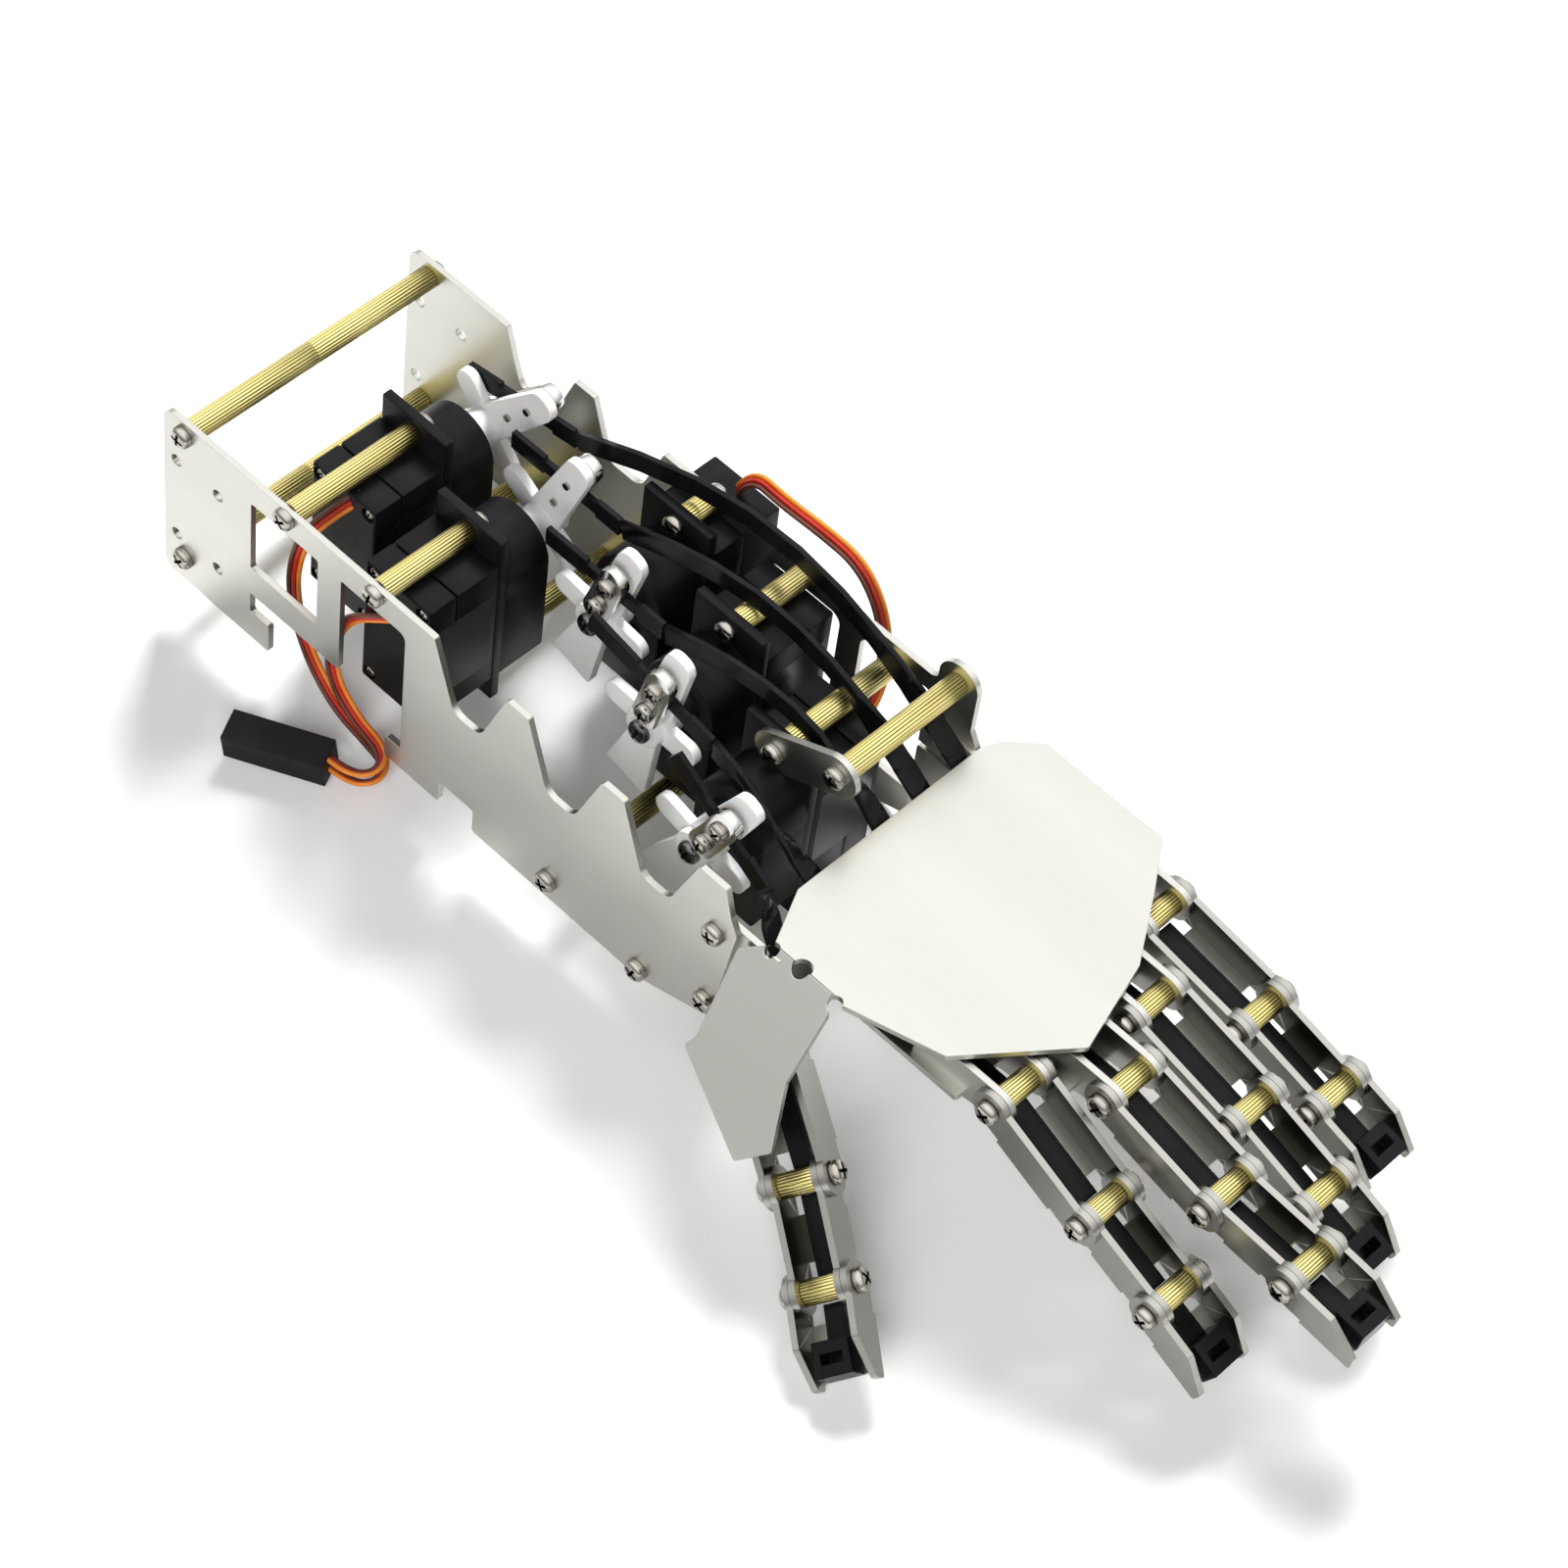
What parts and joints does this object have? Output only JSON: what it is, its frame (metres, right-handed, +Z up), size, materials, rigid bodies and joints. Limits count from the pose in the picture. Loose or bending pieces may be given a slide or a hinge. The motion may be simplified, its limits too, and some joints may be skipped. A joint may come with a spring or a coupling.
{
  "type": "dexterous robot hand",
  "caption": "Left robot hand with hinged channel-link fingers and thumb, driven by forearm servos through horns and flat ties between two sheet side plates.",
  "frame": {"origin": "mid-plane between the side plates, at the rear edges and lower edges of the plates", "axes": "+X from the elbow end to the fingertips, +Y to the little finger side, +Z up through the palm"},
  "size_m": [0.3194, 0.1236, 0.0801],
  "materials": {
    "plates": "satin",
    "links": "satin",
    "spacers": "satin",
    "standoffs": "satin",
    "screws": "satin",
    "servo_case": "satin",
    "horns": "satin",
    "ties": "satin"
  },
  "bodies": {
    "hand_frame": {"frame_screws": "screws", "front_lead": "ties", "guide_bracket": "plates", "guide_standoffs": "standoffs", "inner_plug": "ties", "knuckle_frame": "plates", "knuckle_screws": "screws", "knuckle_spacers": "spacers", "lead_plugs": "ties", "left_servos": "servo_case", "left_side_plate": "plates", "palm_plate": "plates", "rear_crossbars": "standoffs", "rear_lead": "ties", "right_lead": "ties", "right_servos": "servo_case", "right_side_plate": "plates", "servo_standoffs": "standoffs", "servo_tab_screws": "screws", "tie_front_runs": "ties"},
    "pinky_proximal": {"pinky_proximal_link": "links"},
    "pinky_middle": {"pinky_middle_link": "links", "pinky_pivots": "spacers"},
    "pinky_tip": {"pinky_tip_link": "links", "pinky_tie_head": "ties"},
    "pinky_horn": {"pinky_horn": "horns", "pinky_horn_clamp": "screws"},
    "pinky_tie": {"pinky_tie": "ties"},
    "ring_proximal": {"ring_proximal_link": "links"},
    "ring_middle": {"ring_middle_link": "links", "ring_pivots": "spacers"},
    "ring_tip": {"ring_tip_link": "links", "ring_tie_head": "ties"},
    "ring_horn": {"ring_horn": "horns", "ring_horn_clamp": "screws"},
    "ring_tie": {"ring_tie": "ties"},
    "middle_proximal": {"middle_proximal_link": "links"},
    "middle_middle": {"middle_middle_link": "links", "middle_pivots": "spacers"},
    "middle_tip": {"middle_tip_link": "links", "middle_tie_head": "ties"},
    "middle_horn": {"middle_horn": "horns", "middle_horn_clamp": "screws"},
    "middle_tie": {"middle_tie": "ties"},
    "index_proximal": {"index_proximal_link": "links"},
    "index_middle": {"index_middle_link": "links", "index_pivots": "spacers"},
    "index_tip": {"index_tip_link": "links", "index_tie_head": "ties"},
    "index_horn": {"index_horn": "horns", "index_horn_clamp": "screws"},
    "index_tie": {"index_tie": "ties"},
    "thumb_proximal": {"thumb_proximal_link": "links"},
    "thumb_middle": {"thumb_middle_link": "links", "thumb_pivots": "spacers"},
    "thumb_tip": {"thumb_tip_link": "links", "thumb_tie_head": "ties"},
    "thumb_horn": {"thumb_horn": "horns", "thumb_horn_clamp": "screws"},
    "thumb_tie": {"thumb_tie": "ties"}
  },
  "joints": [
    {"name": "pinky_knuckle", "type": "hinge", "parent": "hand_frame", "child": "pinky_proximal", "pos_m": [0.2261, 0.036, 0.0352], "axis": [0, 1, 0], "range_deg": [0, 65]},
    {"name": "pinky_middle_joint", "type": "hinge", "parent": "pinky_proximal", "child": "pinky_middle", "pos_m": [0.25498, 0.036, 0.03026], "axis": [0, 1, 0], "range_deg": [0, 71.5]},
    {"name": "pinky_tip_joint", "type": "hinge", "parent": "pinky_middle", "child": "pinky_tip", "pos_m": [0.27643, 0.036, 0.02456], "axis": [0, 1, 0], "range_deg": [0, 52]},
    {"name": "pinky_horn_joint", "type": "hinge", "parent": "hand_frame", "child": "pinky_horn", "pos_m": [0.039, 0.02515, 0.0365], "axis": [0, -1, 0], "range_deg": [0, 46.01]},
    {"name": "pinky_tie_joint", "type": "hinge", "parent": "pinky_horn", "child": "pinky_tie", "pos_m": [0.04858, 0.02515, 0.04791], "axis": [0, 1, 0], "range_deg": [0, 46.01]},
    {"name": "ring_knuckle", "type": "hinge", "parent": "hand_frame", "child": "ring_proximal", "pos_m": [0.2401, 0.018, 0.0352], "axis": [0, 1, 0], "range_deg": [0, 65]},
    {"name": "ring_middle_joint", "type": "hinge", "parent": "ring_proximal", "child": "ring_middle", "pos_m": [0.26855, 0.018, 0.02821], "axis": [0, 1, 0], "range_deg": [0, 71.5]},
    {"name": "ring_tip_joint", "type": "hinge", "parent": "ring_middle", "child": "ring_tip", "pos_m": [0.28954, 0.018, 0.02098], "axis": [0, 1, 0], "range_deg": [0, 52]},
    {"name": "ring_horn_joint", "type": "hinge", "parent": "hand_frame", "child": "ring_horn", "pos_m": [0.0667, 0.01515, 0.0365], "axis": [0, -1, 0], "range_deg": [0, 44.01]},
    {"name": "ring_tie_joint", "type": "hinge", "parent": "ring_horn", "child": "ring_tie", "pos_m": [0.07228, 0.01515, 0.05031], "axis": [0, 1, 0], "range_deg": [0, 44.01]},
    {"name": "middle_knuckle", "type": "hinge", "parent": "hand_frame", "child": "middle_proximal", "pos_m": [0.2497, 0, 0.0352], "axis": [0, 1, 0], "range_deg": [0, 65]},
    {"name": "middle_middle_joint", "type": "hinge", "parent": "middle_proximal", "child": "middle_middle", "pos_m": [0.27809, 0, 0.02796], "axis": [0, 1, 0], "range_deg": [0, 71.5]},
    {"name": "middle_tip_joint", "type": "hinge", "parent": "middle_middle", "child": "middle_tip", "pos_m": [0.30024, 0, 0.02641], "axis": [0, 1, 0], "range_deg": [0, 52]},
    {"name": "middle_horn_joint", "type": "hinge", "parent": "hand_frame", "child": "middle_horn", "pos_m": [0.0944, 0.00185, 0.0365], "axis": [0, -1, 0], "range_deg": [0, 44.01]},
    {"name": "middle_tie_joint", "type": "hinge", "parent": "middle_horn", "child": "middle_tie", "pos_m": [0.09876, 0.00185, 0.05075], "axis": [0, 1, 0], "range_deg": [0, 44.01]},
    {"name": "index_knuckle", "type": "hinge", "parent": "hand_frame", "child": "index_proximal", "pos_m": [0.2356, -0.018, 0.0352], "axis": [0, 1, 0], "range_deg": [0, 65]},
    {"name": "index_middle_joint", "type": "hinge", "parent": "index_proximal", "child": "index_middle", "pos_m": [0.26211, -0.018, 0.02272], "axis": [0, 1, 0], "range_deg": [0, 71.5]},
    {"name": "index_tip_joint", "type": "hinge", "parent": "index_middle", "child": "index_tip", "pos_m": [0.28247, -0.018, 0.01387], "axis": [0, 1, 0], "range_deg": [0, 52]},
    {"name": "index_horn_joint", "type": "hinge", "parent": "hand_frame", "child": "index_horn", "pos_m": [0.1221, -0.01015, 0.0365], "axis": [0, -1, 0], "range_deg": [0, 44.01]},
    {"name": "index_tie_joint", "type": "hinge", "parent": "index_horn", "child": "index_tie", "pos_m": [0.12545, -0.01015, 0.05102], "axis": [0, 1, 0], "range_deg": [0, 44.01]},
    {"name": "thumb_knuckle", "type": "hinge", "parent": "hand_frame", "child": "thumb_proximal", "pos_m": [0.1886, -0.04148, 0.0228], "axis": [0.6115, 0.5212, 0.5953], "range_deg": [0, 25]},
    {"name": "thumb_middle_joint", "type": "hinge", "parent": "thumb_proximal", "child": "thumb_middle", "pos_m": [0.21165, -0.05087, 0.00735], "axis": [0.6115, 0.5212, 0.5953], "range_deg": [0, 30]},
    {"name": "thumb_tip_joint", "type": "hinge", "parent": "thumb_middle", "child": "thumb_tip", "pos_m": [0.22919, -0.06076, -0.00201], "axis": [0.6115, 0.5212, 0.5953], "range_deg": [0, 25]},
    {"name": "thumb_horn_joint", "type": "hinge", "parent": "hand_frame", "child": "thumb_horn", "pos_m": [0.1498, -0.02265, 0.0335], "axis": [0, -1, 0], "range_deg": [0, 19.01]},
    {"name": "thumb_tie_joint", "type": "hinge", "parent": "thumb_horn", "child": "thumb_tie", "pos_m": [0.15633, -0.02265, 0.04689], "axis": [0, 1, 0], "range_deg": [0, 19.01]}
  ],
  "couplings": [
    {"joint": "pinky_middle_joint", "follows": "pinky_knuckle", "ratio": 1.1},
    {"joint": "pinky_tip_joint", "follows": "pinky_knuckle", "ratio": 0.8},
    {"joint": "pinky_horn_joint", "follows": "pinky_knuckle", "ratio": 0.7077},
    {"joint": "pinky_tie_joint", "follows": "pinky_knuckle", "ratio": 0.7077},
    {"joint": "ring_middle_joint", "follows": "ring_knuckle", "ratio": 1.1},
    {"joint": "ring_tip_joint", "follows": "ring_knuckle", "ratio": 0.8},
    {"joint": "ring_horn_joint", "follows": "ring_knuckle", "ratio": 0.6769},
    {"joint": "ring_tie_joint", "follows": "ring_knuckle", "ratio": 0.6769},
    {"joint": "middle_middle_joint", "follows": "middle_knuckle", "ratio": 1.1},
    {"joint": "middle_tip_joint", "follows": "middle_knuckle", "ratio": 0.8},
    {"joint": "middle_horn_joint", "follows": "middle_knuckle", "ratio": 0.6769},
    {"joint": "middle_tie_joint", "follows": "middle_knuckle", "ratio": 0.6769},
    {"joint": "index_middle_joint", "follows": "index_knuckle", "ratio": 1.1},
    {"joint": "index_tip_joint", "follows": "index_knuckle", "ratio": 0.8},
    {"joint": "index_horn_joint", "follows": "index_knuckle", "ratio": 0.6769},
    {"joint": "index_tie_joint", "follows": "index_knuckle", "ratio": 0.6769},
    {"joint": "thumb_middle_joint", "follows": "thumb_knuckle", "ratio": 1.2},
    {"joint": "thumb_tip_joint", "follows": "thumb_knuckle", "ratio": 1},
    {"joint": "thumb_horn_joint", "follows": "thumb_knuckle", "ratio": 0.76},
    {"joint": "thumb_tie_joint", "follows": "thumb_knuckle", "ratio": 0.76}
  ]
}
